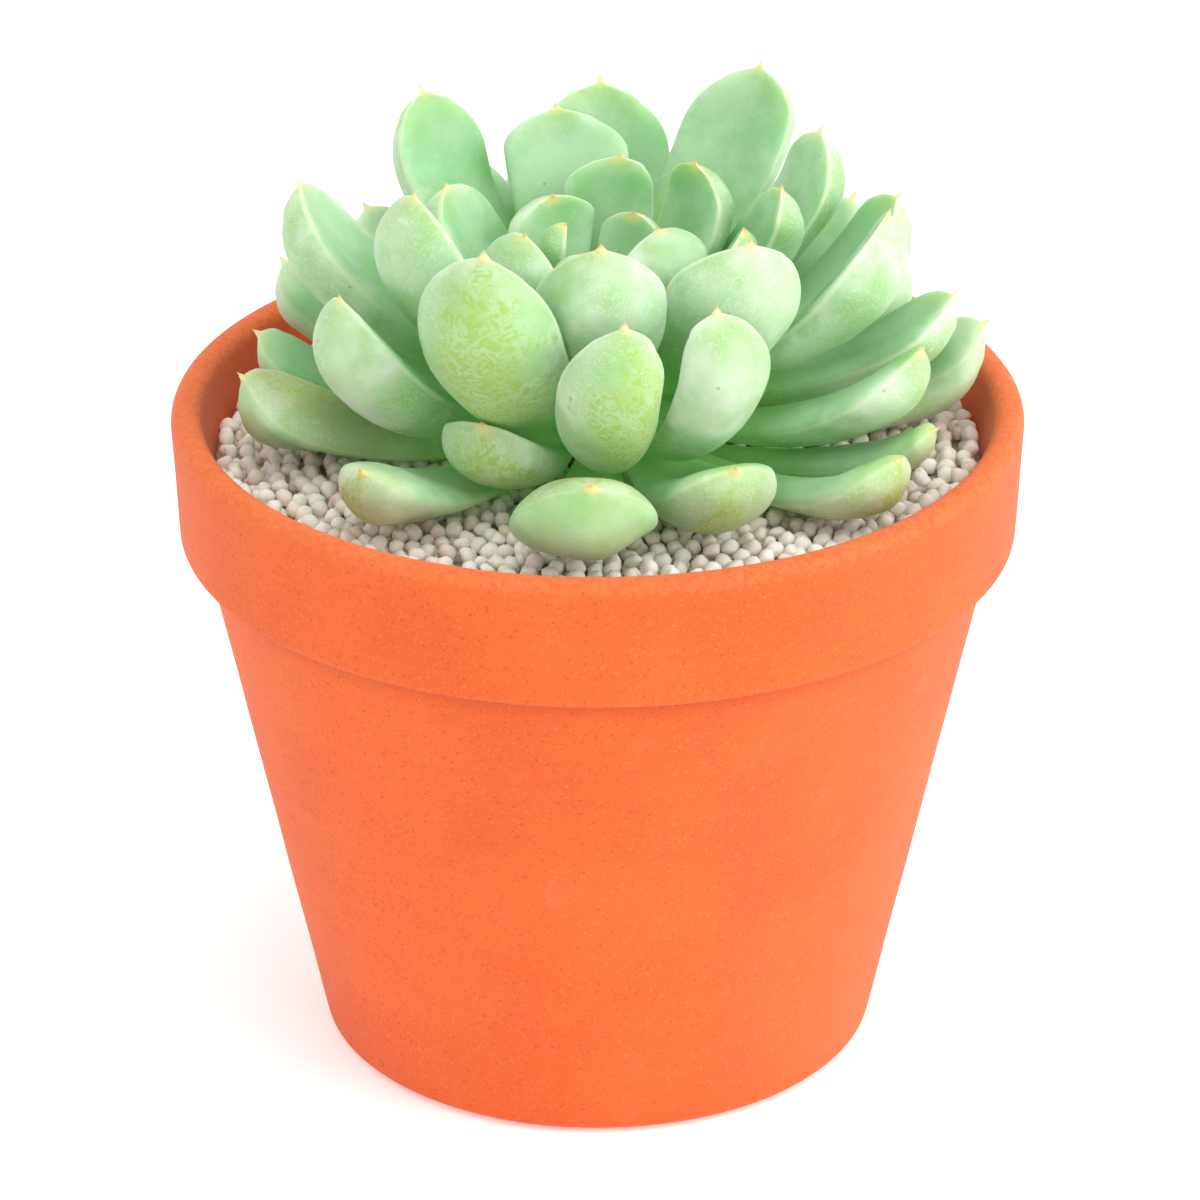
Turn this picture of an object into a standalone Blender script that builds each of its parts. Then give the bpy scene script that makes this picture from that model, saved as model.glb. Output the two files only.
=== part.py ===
"""Echeveria-type succulent in a terracotta pot, with its soil, gravel topping, stem and leaves.

Metres, +Z up. The origin is the centre of the pot's underside.
"""

import math

import bmesh
import bpy
import numpy as np
from mathutils.bvhtree import BVHTree

MM = 0.001
GAP = 0.3 * MM  # between pieces that touch

# Pot: a straight tapered body under a thicker rim band
POT_HEIGHT = 88 * MM
RIM_RADIUS = 55 * MM
RIM_TAPER = 0.8 * MM  # how much narrower the rim band is at its lower edge
RIM_HEIGHT = 17.3 * MM
RIM_WALL = 4.0 * MM
RIM_STEP = 2.8 * MM  # from the rim band's lower edge in to the body
BODY_TAPER = 14.9 * MM  # how much narrower the body is at the base
BODY_WALL = 4.0 * MM
FLOOR = 6.0 * MM
DRAIN_RADIUS = 6.0 * MM
LIP_ROUND = 1.7 * MM
RIM_EDGE_ROUND = 0.6 * MM
BASE_ROUND = 2.0 * MM
POT_STEPS = 48

# What fills the pot
HEADSPACE = 6.5 * MM  # from the top of the rim down to the gravel
GRAVEL_DEPTH = 7.0 * MM
FILL_STEPS = 40

# Stem
STEM_RADIUS = 6.5 * MM
STEM_TIP_RADIUS = 2.5 * MM
STEM_RISE = 19.5 * MM  # from the gravel up to the stem's tip
ROOT_DEPTH = 16 * MM  # how far the stem reaches into the soil
ROOT_TIP_RADIUS = 2.0 * MM
STEM_TAPER = 1.5  # over 1, the stem stays thick low down
STEM_TIP_FLAT = 0.6  # share of the tip's radius
STEM_TIP_ROUND = 0.5  # height of its rounding, in tip radii
STEM_STEPS = 16

# Rosette: the leaves sit on a spiral that climbs the stem, the oldest lowest
ROSETTE_CLEARANCE = 0.5 * MM  # from the furthest leaf tip to the pot's inside
GOLDEN_ANGLE = 137.5
FIRST_AZIMUTH = 65
FIRST_FOOT = 2.0 * MM  # height above the gravel
LAST_FOOT = 18.5 * MM
FOOT_CLEARANCE = 0.8 * MM
OUTER_THICKNESS = 0.52  # share of a leaf's width
INNER_THICKNESS = 0.42
LEAVES = (
    # degrees off the spiral, roll, tilt at the foot, curl to the tip, and how late the curl
    # comes: 1 is even, over 1 is late; then length and width in mm
    (0, 0, 4, 22, 1, 42, 17),
    (-12, 0, 2, 34, 1.3, 42, 18),
    (-5, 0, 2, 25, 1.3, 42, 15),
    (-5, 0, 2, 25, 1, 42, 17),
    (14, 0, 1, 46, 1.7, 42, 24),
    (8, 0, -2, 30, 1, 43, 17),
    (-18, 0, 5, 26, 1, 43, 17),
    (14, 0, -5, 42, 1.6, 43.5, 18),
    (0, 0, -2, 30, 1, 42, 17),
    (6, 0, -6, 44, 1.6, 39.5, 18),
    (6, 0, -2, 30, 1, 46, 18),
    (-6, 0, -1, 30, 1, 41, 17),
    (19, 0, -2, 43, 1.7, 37.5, 18),
    (-14, 0, 5, 42, 1, 42, 17),
    (-22, 0, -7, 30, 1, 40, 17),
    (10, 0, -9, 54, 0.8, 42, 17),
    (-5, 0, 2, 42, 1, 42, 17),
    (0, 0, -4, 49, 1.2, 27, 17),
    (4, 0, 0, 36, 1, 41, 17),
    (-12, 0, 11, 35, 1, 36, 17),
    (0, 0, -20, 104, 0.7, 42, 16.5),
    (0, 0, 3, 42, 1, 42, 17),
    (-2, 0, -14, 79, 0.7, 38.5, 17),
    (12, 0, -8, 46, 0.85, 43, 17),
    (-4, 0, 5, 42, 1, 41, 17),
    (13, 0, -34, 119, 0.65, 41, 16.5),
    (-12, 0, 17, 51, 0.8, 40, 15),
    (-2, 0, 6, 56, 0.8, 43, 16),
    (31, 0, 7, 56, 0.8, 43, 17),
    (-3, 0, 12, 45, 1, 43, 19),
    (13, 0, -19, 109, 0.65, 41.5, 19.5),
    (0, 0, 9, 45, 1, 41, 18),
    (-13, 0, 20, 45, 1, 41, 15),
    (36, -28, 8, 70, 0.75, 32.5, 19),
    (-5, 0, 18, 45, 1, 44, 18),
    (12, 0, 24, 55, 1, 36, 17),
    (33, 0, 25, 45, 1, 29, 14),
    (-10, 0, 25, 45, 1, 32, 19),
    (21, 0, 3, 82, 0.75, 33.5, 17),
    (12, 0, 40, 40, 1, 24, 14),
    (-5, 0, 28, 40, 1, 25, 15),
    (16, 0, 47, 50, 1, 19, 15),
    (0, 0, 37, 40, 1, 22, 15),
    (-8, 0, 45, 45, 1, 17, 14),
    (-7, 0, 23, 45, 1, 22, 12),
    (-8, 0, 46, 40, 1, 16, 13),
    (-15, 0, 58, 35, 1, 13, 8),
    (12, 0, 48, 35, 1, 13, 9),
    (-5, 0, 74, 30, 1, 13, 7.5),
)
TABLE_REACH = 50.5 * MM  # how far the table's longest leaf reaches from the axis

# Leaf shape: rings along the leaf, and the points of one ring
RINGS = (0.0, 0.12, 0.28, 0.46, 0.64, 0.80, 0.90, 0.955)
SECTION = (
    # across in half widths, up in thicknesses: flat inner face, keeled outer face
    (1.0, 0.08),
    (0.6, 0.07),
    (0.0, -0.01),
    (-0.6, 0.07),
    (-1.0, 0.08),
    (-0.8, -0.57),
    (0.0, -1.0),
    (0.8, -0.57),
)
WIDEST_AT = 0.66
ROUNDED_BY = 0.97  # beyond this only the small point is left
FOOT_FULLNESS = 0.78  # under 1, the leaf widens sooner after its foot
TIP_BLUNTNESS = 3.2  # over 2, the end is blunter than an ellipse
TIP_TAPER = 0.78  # over 0.5, the end comes to an angle
FOOT_WIDTH = 0.30
FOOT_THICKNESS = 0.28
CENTRE_LINE_STOPS = 61
ROLLED_BY = 0.5  # a leaf's roll comes between its foot and here
OLD_DOME = 0.32  # how far the oldest leaf's inner face is domed, in thicknesses
MARGIN_DROP = 0.9  # how far its margins are lowered, in domes
SIDE_FILL = 0.5  # how much wider its outer side swells, as a share per dome
FLAT_AGE = 0.6  # from here up the stem, inner faces are flat
CORE_DEPTH = 0.4  # the leaf's core runs this share of its thickness under the inner face

# Leaves pressed together
SQUEEZE = 0.95
ROUNDS = 120
UNEVENNESS = 0.05  # how much less a spot may be squeezed than the spots round it

RIM_FOOT_RADIUS = RIM_RADIUS - RIM_TAPER
BODY_RADIUS = RIM_FOOT_RADIUS - RIM_STEP
BASE_RADIUS = BODY_RADIUS - BODY_TAPER
SOIL_TOP = POT_HEIGHT - HEADSPACE - GRAVEL_DEPTH
GRAVEL_TOP = POT_HEIGHT - HEADSPACE
BAND_BOTTOM = POT_HEIGHT - RIM_HEIGHT


def clear_scene():
    for obj in list(bpy.data.objects):
        bpy.data.objects.remove(obj)


def material(name, colour, roughness):
    made = bpy.data.materials.new(name)
    made.use_nodes = True
    shader = made.node_tree.nodes["Principled BSDF"]
    shader.inputs["Base Color"].default_value = (*colour, 1)
    shader.inputs["Roughness"].default_value = roughness
    shader.inputs["Metallic"].default_value = 0
    made.diffuse_color = (*colour, 1)
    return made


def add_object(name, mesh, look, sharp_from):
    """An object shaded smooth, but for edges sharper than the given degrees."""
    mesh.materials.append(look)
    mesh.shade_smooth()
    mesh.set_sharp_from_angle(angle=math.radians(sharp_from))
    obj = bpy.data.objects.new(name, mesh)
    bpy.context.scene.collection.objects.link(obj)
    return obj


def turned(name, profile, steps, look, closed):
    """A profile of (radius, height) points turned once round +Z."""
    shape = bmesh.new()
    corners = [shape.verts.new((radius, 0, height)) for radius, height in profile]
    ends = corners[1:] + corners[:1] if closed else corners[1:]
    for start, end in zip(corners, ends):
        shape.edges.new((start, end))
    bmesh.ops.spin(
        shape,
        geom=shape.verts[:] + shape.edges[:],
        cent=(0, 0, 0),
        axis=(0, 0, 1),
        angle=math.tau,
        steps=steps,
    )
    bmesh.ops.remove_doubles(shape, verts=shape.verts, dist=0.001 * MM)
    bmesh.ops.recalc_face_normals(shape, faces=shape.faces)
    mesh = bpy.data.meshes.new(name)
    shape.to_mesh(mesh)
    shape.free()
    return add_object(name, mesh, look, sharp_from=35)


def arc(centre_radius, centre_height, radius, start, end, count):
    """Points along a rounding, from one angle to another in degrees."""
    angles = np.radians(np.linspace(start, end, count))
    return [
        (centre_radius + radius * math.cos(a), centre_height + radius * math.sin(a))
        for a in angles
    ]


def inner_radius(height):
    """The pot's inside radius at a height."""
    heights = (FLOOR, BAND_BOTTOM, POT_HEIGHT)
    radii = (BASE_RADIUS - BODY_WALL, BODY_RADIUS - BODY_WALL, RIM_RADIUS - RIM_WALL)
    return float(np.interp(height, heights, radii))


def build_pot(look):
    inner_lip = RIM_RADIUS - RIM_WALL
    profile = arc(
        RIM_RADIUS - LIP_ROUND, POT_HEIGHT - LIP_ROUND, LIP_ROUND, 90, 0, 5
    )
    profile += arc(
        RIM_FOOT_RADIUS - RIM_EDGE_ROUND,
        BAND_BOTTOM + RIM_EDGE_ROUND,
        RIM_EDGE_ROUND,
        0,
        -90,
        3,
    )
    profile.append((BODY_RADIUS, BAND_BOTTOM))
    profile += arc(BASE_RADIUS - BASE_ROUND, BASE_ROUND, BASE_ROUND, 0, -90, 4)
    profile.append((DRAIN_RADIUS, 0))
    profile.append((DRAIN_RADIUS, FLOOR))
    profile.append((BASE_RADIUS - BODY_WALL, FLOOR))
    profile.append((BODY_RADIUS - BODY_WALL, BAND_BOTTOM))
    profile += arc(inner_lip + LIP_ROUND, POT_HEIGHT - LIP_ROUND, LIP_ROUND, 180, 90, 4)
    return turned("pot", profile, POT_STEPS, look, closed=True)


def build_soil(look):
    well = STEM_RADIUS + GAP
    well_bottom = SOIL_TOP - ROOT_DEPTH - GAP
    bottom = FLOOR + GAP
    profile = [
        (0, well_bottom),
        (ROOT_TIP_RADIUS + GAP, well_bottom),
        (well, SOIL_TOP),
        (inner_radius(SOIL_TOP) - GAP, SOIL_TOP),
        (inner_radius(BAND_BOTTOM) - GAP, BAND_BOTTOM),
        (inner_radius(bottom) - GAP, bottom),
        (0, bottom),
    ]
    return turned("potting_soil", profile, FILL_STEPS, look, closed=False)


def build_gravel(look):
    bottom = SOIL_TOP + GAP
    profile = [
        (STEM_RADIUS + GAP, GRAVEL_TOP),
        (inner_radius(GRAVEL_TOP) - GAP, GRAVEL_TOP),
        (inner_radius(bottom) - GAP, bottom),
        (STEM_RADIUS + GAP, bottom),
    ]
    return turned("gravel_topping", profile, FILL_STEPS, look, closed=True)


def stem_radius(height):
    """The stem narrows from the gravel to its tip."""
    share = np.clip((height - GRAVEL_TOP) / STEM_RISE, 0, 1)
    return STEM_RADIUS - (STEM_RADIUS - STEM_TIP_RADIUS) * share**STEM_TAPER


def build_stem(look):
    tip = GRAVEL_TOP + STEM_RISE
    heights = np.linspace(tip - STEM_TIP_ROUND * STEM_TIP_RADIUS, GRAVEL_TOP, 7)
    profile = [(0, tip), (STEM_TIP_FLAT * STEM_TIP_RADIUS, tip)]
    profile += [(stem_radius(height), height) for height in heights]
    profile.append((STEM_RADIUS, SOIL_TOP))
    profile.append((ROOT_TIP_RADIUS, SOIL_TOP - ROOT_DEPTH))
    profile.append((0, SOIL_TOP - ROOT_DEPTH))
    return turned("stem", profile, STEM_STEPS, look, closed=False)


def swell(along, at_foot):
    """A leaf's width or thickness along its length: narrow foot, full outer part, round end."""
    rise = min(along / WIDEST_AT, 1)
    if along <= WIDEST_AT:
        return at_foot + (1 - at_foot) * (rise * rise * (3 - 2 * rise)) ** FOOT_FULLNESS
    past = (along - WIDEST_AT) / (ROUNDED_BY - WIDEST_AT)
    return (1 - past**TIP_BLUNTNESS) ** TIP_TAPER


class Leaf:
    """One leaf: its core line, the rings round it, and how far each spot is squeezed towards it."""

    def __init__(self, order, turn, roll, tilt, curl, lateness, length, width):
        age = order / (len(LEAVES) - 1)
        scale = (inner_radius(POT_HEIGHT) - ROSETTE_CLEARANCE) / TABLE_REACH
        self.azimuth = math.radians(FIRST_AZIMUTH + GOLDEN_ANGLE * order + turn)
        self.roll = math.radians(roll)
        self.dome = OLD_DOME * max(0, 1 - age / FLAT_AGE)
        self.length = length * MM * scale
        self.width = width * MM * scale
        share = OUTER_THICKNESS + (INNER_THICKNESS - OUTER_THICKNESS) * age
        self.thickness = self.width * share
        self.foot_height = GRAVEL_TOP + FIRST_FOOT + (LAST_FOOT - FIRST_FOOT) * age
        lean = max(0, -math.sin(math.radians(tilt)))  # a foot that points down leans to the stem
        self.foot_reach = stem_radius(self.foot_height) + FOOT_CLEARANCE
        self.foot_reach += lean * FOOT_THICKNESS * self.thickness
        self.squeeze = np.ones((len(RINGS), len(SECTION)))
        self.stops = np.linspace(0, 1, CENTRE_LINE_STOPS)
        self.angles = np.radians(tilt + curl * self.stops**lateness)
        step = self.length * self.stops[1]
        half_way = (self.angles[1:] + self.angles[:-1]) / 2
        self.out = np.append(0, np.cumsum(np.cos(half_way) * step))
        self.rise = np.append(0, np.cumsum(np.sin(half_way) * step))
        self.lay_out()

    def at(self, along):
        """The point of the centre line at a share of the length, and the leaf's up direction."""
        outward = np.array((math.cos(self.azimuth), math.sin(self.azimuth), 0))
        up = np.array((0, 0, 1))
        angle = np.interp(along, self.stops, self.angles)
        reach = self.foot_reach + np.interp(along, self.stops, self.out)
        height = self.foot_height + np.interp(along, self.stops, self.rise)
        point = outward * reach + up * height
        return point, up * math.cos(angle) - outward * math.sin(angle)

    def lay_out(self):
        level = np.array((-math.sin(self.azimuth), math.cos(self.azimuth), 0))
        self.core = np.zeros((len(RINGS), 3))
        self.spokes = np.zeros((len(RINGS), len(SECTION), 3))
        for ring, along in enumerate(RINGS):
            centre, upright = self.at(along)
            rolled = self.roll * min(along / ROLLED_BY, 1)
            side = level * math.cos(rolled) + upright * math.sin(rolled)
            up = upright * math.cos(rolled) - level * math.sin(rolled)
            half_width = 0.5 * self.width * swell(along, FOOT_WIDTH)
            thickness = self.thickness * swell(along, FOOT_THICKNESS)
            self.core[ring] = centre - up * CORE_DEPTH * thickness
            for spot, (across, over) in enumerate(SECTION):
                if over > -CORE_DEPTH:
                    over += self.dome * (1 - (1 + MARGIN_DROP) * across**2)
                else:
                    across *= 1 + SIDE_FILL * self.dome
                edge = centre + side * half_width * across + up * thickness * over
                self.spokes[ring, spot] = edge - self.core[ring]
        self.tip = self.at(1.0)[0]

    def points(self, swollen=0.0):
        """The rings' points, then the foot's middle and the tip, all moved out by swollen."""
        lengths = np.linalg.norm(self.spokes, axis=2, keepdims=True)
        reach = self.squeeze[:, :, None] + swollen / lengths
        rings = self.core[:, None] + self.spokes * reach
        ahead = self.tip - self.core[-1]
        ahead /= np.linalg.norm(ahead)
        back = self.core[0] - self.core[1]
        back /= np.linalg.norm(back)
        ends = [self.core[0] + back * swollen, self.tip + ahead * swollen]
        return np.concatenate([rings.reshape(-1, 3), ends])


def leaf_faces():
    """Triangles over the rings' points, the foot's middle and the tip, facing out."""
    count = len(SECTION)
    foot = len(RINGS) * count
    faces = []
    for spot in range(count):
        after = (spot + 1) % count
        faces.append((foot, after, spot))
        for ring in range(len(RINGS) - 1):
            low = ring * count
            high = low + count
            faces.append((low + spot, low + after, high + after))
            faces.append((low + spot, high + after, high + spot))
        last = foot - count
        faces.append((last + spot, last + after, foot + 1))
    return faces


def touched_faces(trees, swollen_trees, still):
    """For each leaf, its faces that meet another leaf or one of the still pieces."""
    touched = [set() for _ in trees]
    for a, tree in enumerate(trees):
        for b in range(a + 1, len(trees)):
            for face_a, face_b in tree.overlap(trees[b]):
                touched[a].add(face_a)
                touched[b].add(face_b)
        for piece in still:
            touched[a].update(face for face, _ in swollen_trees[a].overlap(piece))
    return touched


def evened(squeeze):
    """No spot stands out by more than the unevenness from the mean of its four neighbours."""
    around = np.roll(squeeze, 1, axis=1) + np.roll(squeeze, -1, axis=1)
    padded = np.pad(squeeze, ((1, 1), (0, 0)), mode="edge")
    mean = (around + padded[:-2] + padded[2:]) / 4
    return np.minimum(squeeze, mean + UNEVENNESS)


def press_together(leaves, still):
    """Where leaves touch each other or a still piece, they give way until nothing touches."""
    faces = leaf_faces()
    spots = len(RINGS) * len(SECTION)
    for _ in range(ROUNDS):
        trees = [BVHTree.FromPolygons(leaf.points(GAP / 2), faces) for leaf in leaves]
        swollen = [BVHTree.FromPolygons(leaf.points(GAP), faces) for leaf in leaves]
        touched = touched_faces(trees, swollen, still)
        if not any(touched):
            return
        for leaf, hits in zip(leaves, touched):
            corners = {corner for face in hits for corner in faces[face] if corner < spots}
            leaf.squeeze.reshape(-1)[sorted(corners)] *= SQUEEZE
            leaf.squeeze = evened(leaf.squeeze)


def build_leaves(look, still):
    leaves = [Leaf(order, *row) for order, row in enumerate(LEAVES)]
    press_together(leaves, still)
    faces = leaf_faces()
    for order, leaf in enumerate(leaves):
        name = f"leaf_{order + 1:02d}"
        mesh = bpy.data.meshes.new(name)
        mesh.from_pydata([tuple(point) for point in leaf.points()], [], faces)
        add_object(name, mesh, look, sharp_from=50)


def main():
    clear_scene()
    pot = build_pot(material("terracotta", (0.87, 0.23, 0.08), 0.8))
    build_soil(material("soil", (0.06, 0.04, 0.03), 0.95))
    gravel = build_gravel(material("gravel", (0.80, 0.76, 0.68), 0.85))
    stem = build_stem(material("stem", (0.35, 0.36, 0.18), 0.7))
    bpy.context.view_layer.update()
    graph = bpy.context.evaluated_depsgraph_get()
    still = [BVHTree.FromObject(piece, graph) for piece in (pot, gravel, stem)]
    build_leaves(material("leaf", (0.42, 0.66, 0.42), 0.5), still)


main()
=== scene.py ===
"""A rosette succulent in a terracotta pot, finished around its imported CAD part.

Metres, +Z up. Each section is one piece, in the order in which the pot is filled and planted.
"""

import math

import bmesh
import bpy
import numpy as np
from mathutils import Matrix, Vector, noise


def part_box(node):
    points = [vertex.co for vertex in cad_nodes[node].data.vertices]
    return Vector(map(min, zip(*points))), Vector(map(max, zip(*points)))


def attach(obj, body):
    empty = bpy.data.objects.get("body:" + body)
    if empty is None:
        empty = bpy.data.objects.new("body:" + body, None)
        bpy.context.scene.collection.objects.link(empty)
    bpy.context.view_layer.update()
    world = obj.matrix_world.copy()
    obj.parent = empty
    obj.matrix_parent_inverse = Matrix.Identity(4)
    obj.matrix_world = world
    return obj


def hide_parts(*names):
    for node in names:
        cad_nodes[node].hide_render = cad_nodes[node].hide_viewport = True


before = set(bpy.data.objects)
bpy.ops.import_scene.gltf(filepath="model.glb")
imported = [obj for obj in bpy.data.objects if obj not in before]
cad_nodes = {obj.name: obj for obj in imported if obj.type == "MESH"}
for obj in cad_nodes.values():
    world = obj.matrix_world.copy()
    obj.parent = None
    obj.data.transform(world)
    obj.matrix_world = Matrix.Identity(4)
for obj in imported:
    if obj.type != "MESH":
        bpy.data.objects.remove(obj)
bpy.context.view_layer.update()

# ---------------------------------------------------------------------------------------------
# Pot: one piece of fired terracotta, thrown and turned on a wheel. It has a thicker band at the
# rim, a rounded lip and a drain hole. The unglazed clay is finely pitted, and pale where worn.
MM = 0.001
SAME_SPOT = 0.002 * MM  # corners closer than this are one corner
SAME_LEVEL = 0.1 * MM
POT_STEPS = 160
CORNER_CUT = 0.7 * MM  # how far from each profile corner its rounding starts
WALL_STRIDE = 5 * MM
THROWN_WOBBLE = 0.07 * MM
THROWN_WAVES = 2.1  # per pot radius, round the wall
THROWN_PITCH = 9 * MM  # from one thrown ridge to the next, up the wall
LIP_WOBBLE = 0.10 * MM
LIP_WAVES = 5.0
LIP_DEPTH = 2.4 * MM  # how far down the lip's wear reaches
LIP_CLEAR = 5 * MM
CLAY = (0.76, 0.122, 0.018, 1)
CLAY_DEEP = (0.70, 0.100, 0.014, 1)
# Painted shade: the darker clay colour laid just under the rim band.
CLAY_PAINTED_SHADE = (0.40, 0.060, 0.012, 1)
SHADE_UNDER_BAND_REACH = 4.5 * MM  # how far down the painted shade under the rim band reaches
CLAY_LIGHT = (0.86, 0.21, 0.06, 1)
CLAY_DUST = (0.90, 0.50, 0.30, 1)
CLAY_WORN = (0.86, 0.26, 0.09, 1)
CLAY_PIT = (0.42, 0.08, 0.03, 1)


def merged_copy(node_name):
    """A CAD node's shape as a bmesh of its own, with the loose triangles joined up."""
    shape = bmesh.new()
    shape.from_mesh(cad_nodes[node_name].data)
    bmesh.ops.remove_doubles(shape, verts=shape.verts, dist=SAME_SPOT)
    return shape


def profile_of(node_name):
    """The node's turned profile, as (radius, height) points round its cut along +X."""
    shape = merged_copy(node_name)
    cut = {v for v in shape.verts if abs(v.co.y) < 0.01 * MM and v.co.x > 0}
    beside = {v: [e.other_vert(v) for e in v.link_edges if e.other_vert(v) in cut] for v in cut}
    start = max(cut, key=lambda v: (round(v.co.z, 5), v.co.x))
    line = [start, max(beside[start], key=lambda v: v.co.x)]
    while True:
        ahead = [v for v in beside[line[-1]] if v is not line[-2]]
        if not ahead or ahead[0] is start:
            break
        line.append(ahead[0])
    points = [np.array((v.co.x, v.co.z)) for v in line]
    shape.free()
    return points


def rounded_profile(points):
    """The closed profile with its long sides divided and its corners cut round."""
    divided = []
    for here, ahead in zip(points, points[1:] + points[:1]):
        divided.append(here)
        length = np.linalg.norm(ahead - here)
        if length > 3 * CORNER_CUT:
            way = (ahead - here) / length
            count = max(2, round(length / WALL_STRIDE) + 1)
            stops = np.linspace(CORNER_CUT, length - CORNER_CUT, count)
            divided += [here + way * stop for stop in stops]
    finished = []
    for here, ahead in zip(divided, divided[1:] + divided[:1]):
        finished += [0.75 * here + 0.25 * ahead, 0.25 * here + 0.75 * ahead]
    return finished


def circle(radius, steps):
    """(x, y) points round a circle."""
    turns = [math.tau * step / steps for step in range(steps)]
    return [(radius * math.cos(turn), radius * math.sin(turn)) for turn in turns]


def turned_faces(rings, steps, closed=True):
    """Quads over so many rings of so many steps. A closed profile's last ring meets its first."""
    faces = []
    for ring in range(rings if closed else rings - 1):
        low, high = ring * steps, (ring + 1) % rings * steps
        for step in range(steps):
            after = (step + 1) % steps
            faces.append((low + step, high + step, high + after, low + after))
    return faces


def new_piece(name, points, faces, look):
    """A smooth-shaded object with its place in its mesh."""
    mesh = bpy.data.meshes.new(name)
    mesh.from_pydata([tuple(point) for point in points], [], faces)
    mesh.materials.append(look)
    mesh.shade_smooth()
    piece = bpy.data.objects.new(name, mesh)
    bpy.context.scene.collection.objects.link(piece)
    return piece


def new_look(name):
    """An empty material: its node tree, its Principled shader and its Object coordinates."""
    look = bpy.data.materials.new(name)
    look.use_nodes = True
    tree = look.node_tree
    spots = tree.nodes.new("ShaderNodeTexCoord").outputs["Object"]
    return look, tree, tree.nodes["Principled BSDF"], spots


def put(tree, kind, inputs, output=0, **settings):
    """Adds one node, fills its inputs with values or links, and gives one of its outputs."""
    node = tree.nodes.new(kind)
    for name, value in settings.items():
        setattr(node, name, value)
    for socket, value in inputs.items():
        if isinstance(value, bpy.types.NodeSocket):
            tree.links.new(value, node.inputs[socket])
        else:
            node.inputs[socket].default_value = value
    return node.outputs[output]


def cloudy(tree, spots, scale, detail=3.0, rough=0.5, distortion=0.0):
    """A noise value about 0.5, with features of 1 / scale metres."""
    sizes = {"Vector": spots, "Scale": scale, "Detail": detail, "Roughness": rough}
    return put(tree, "ShaderNodeTexNoise", {**sizes, "Distortion": distortion})


def ranged(tree, value, start, end, low=0.0, high=1.0):
    """The value taken smoothly from the range start..end to low..high."""
    sizes = {"Value": value, "From Min": start, "From Max": end, "To Min": low, "To Max": high}
    return put(tree, "ShaderNodeMapRange", sizes, interpolation_type="SMOOTHSTEP")


def worked(tree, operation, *values):
    """One Math node over up to three values."""
    return put(tree, "ShaderNodeMath", dict(enumerate(values)), operation=operation)


def mixed(tree, share, under, over, blend="MIX"):
    """The colour over laid on the colour under by a share."""
    inputs = {0: share, 6: under, 7: over}
    return put(tree, "ShaderNodeMix", inputs, output=2, data_type="RGBA", blend_type=blend)


def part_of(tree, vector, axis):
    """One coordinate of a vector."""
    return put(tree, "ShaderNodeSeparateXYZ", {0: vector}, output=axis)


def bumped(tree, shader, height, strength, distance):
    """Raises the shader's normal by a height."""
    sizes = {"Height": height, "Strength": strength, "Distance": distance}
    tree.links.new(put(tree, "ShaderNodeBump", sizes), shader.inputs["Normal"])


def grain_group():
    """Mineral grain, shared by clay, soil and gravel: a soft mottle, grain height and specks."""
    group = bpy.data.node_groups.new("mineral_grain", "ShaderNodeTree")
    for name, kind in (("Vector", "NodeSocketVector"), ("Mottle Scale", "NodeSocketFloat"),
                       ("Grain Scale", "NodeSocketFloat"), ("Speck Scale", "NodeSocketFloat")):
        group.interface.new_socket(name, in_out="INPUT", socket_type=kind)
    for name in ("Mottle", "Grain", "Specks"):
        group.interface.new_socket(name, in_out="OUTPUT", socket_type="NodeSocketFloat")
    given = group.nodes.new("NodeGroupInput").outputs
    broad = cloudy(group, given["Vector"], given["Mottle Scale"], 4, 0.6)
    grain = cloudy(group, given["Vector"], given["Grain Scale"], 5, 0.65)
    cells = {"Vector": given["Vector"], "Scale": given["Speck Scale"]}
    specks = put(group, "ShaderNodeTexVoronoi", cells)
    drift = cloudy(group, given["Vector"], given["Speck Scale"], 1)
    size = worked(group, "MULTIPLY", drift, 0.42)
    near = worked(group, "SUBTRACT", size, specks)
    result = group.nodes.new("NodeGroupOutput").inputs
    group.links.new(ranged(group, broad, 0.3, 0.7), result["Mottle"])
    group.links.new(grain, result["Grain"])
    group.links.new(ranged(group, near, 0.0, 0.10), result["Specks"])
    return group


mineral_grain = grain_group()


def grain_of(tree, spots, mottle_scale, grain_scale, speck_scale):
    """Places the grain group and gives its three outputs."""
    node = tree.nodes.new("ShaderNodeGroup")
    node.node_tree = mineral_grain
    tree.links.new(spots, node.inputs["Vector"])
    node.inputs["Mottle Scale"].default_value = mottle_scale
    node.inputs["Grain Scale"].default_value = grain_scale
    node.inputs["Speck Scale"].default_value = speck_scale
    return node.outputs["Mottle"], node.outputs["Grain"], node.outputs["Specks"]


pot_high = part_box("pot")[1]
clay_look, tree, shader, spots = new_look("terracotta")
mottle, grain, specks = grain_of(tree, spots, 42, 2600, 900)
height = part_of(tree, spots, 2)
turning = put(tree, "ShaderNodeMapping", {"Vector": spots, "Scale": (6, 6, 900)})
lines = cloudy(tree, turning, 1.0, 4, 0.6)
colour = mixed(tree, mottle, CLAY_DEEP, CLAY)
colour = mixed(tree, ranged(tree, lines, 0.45, 0.80, 0, 0.10), colour, CLAY_LIGHT)
colour = mixed(tree, ranged(tree, grain, 0.52, 0.70, 0, 0.75), colour, CLAY_LIGHT)
dust = ranged(tree, cloudy(tree, spots, 95, 6, 0.7), 0.56, 0.80, 0, 0.06)
colour = mixed(tree, dust, colour, CLAY_DUST)
colour = mixed(tree, worked(tree, "MULTIPLY", specks, 0.38), colour, CLAY_PIT)
lip = ranged(tree, height, pot_high.z - LIP_DEPTH, pot_high.z - 0.2 * LIP_DEPTH)
uneven = ranged(tree, cloudy(tree, spots, 900, 5, 0.7), 0.30, 0.62)
worn = worked(tree, "MULTIPLY", lip, worked(tree, "MULTIPLY", uneven, 0.35))
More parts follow.
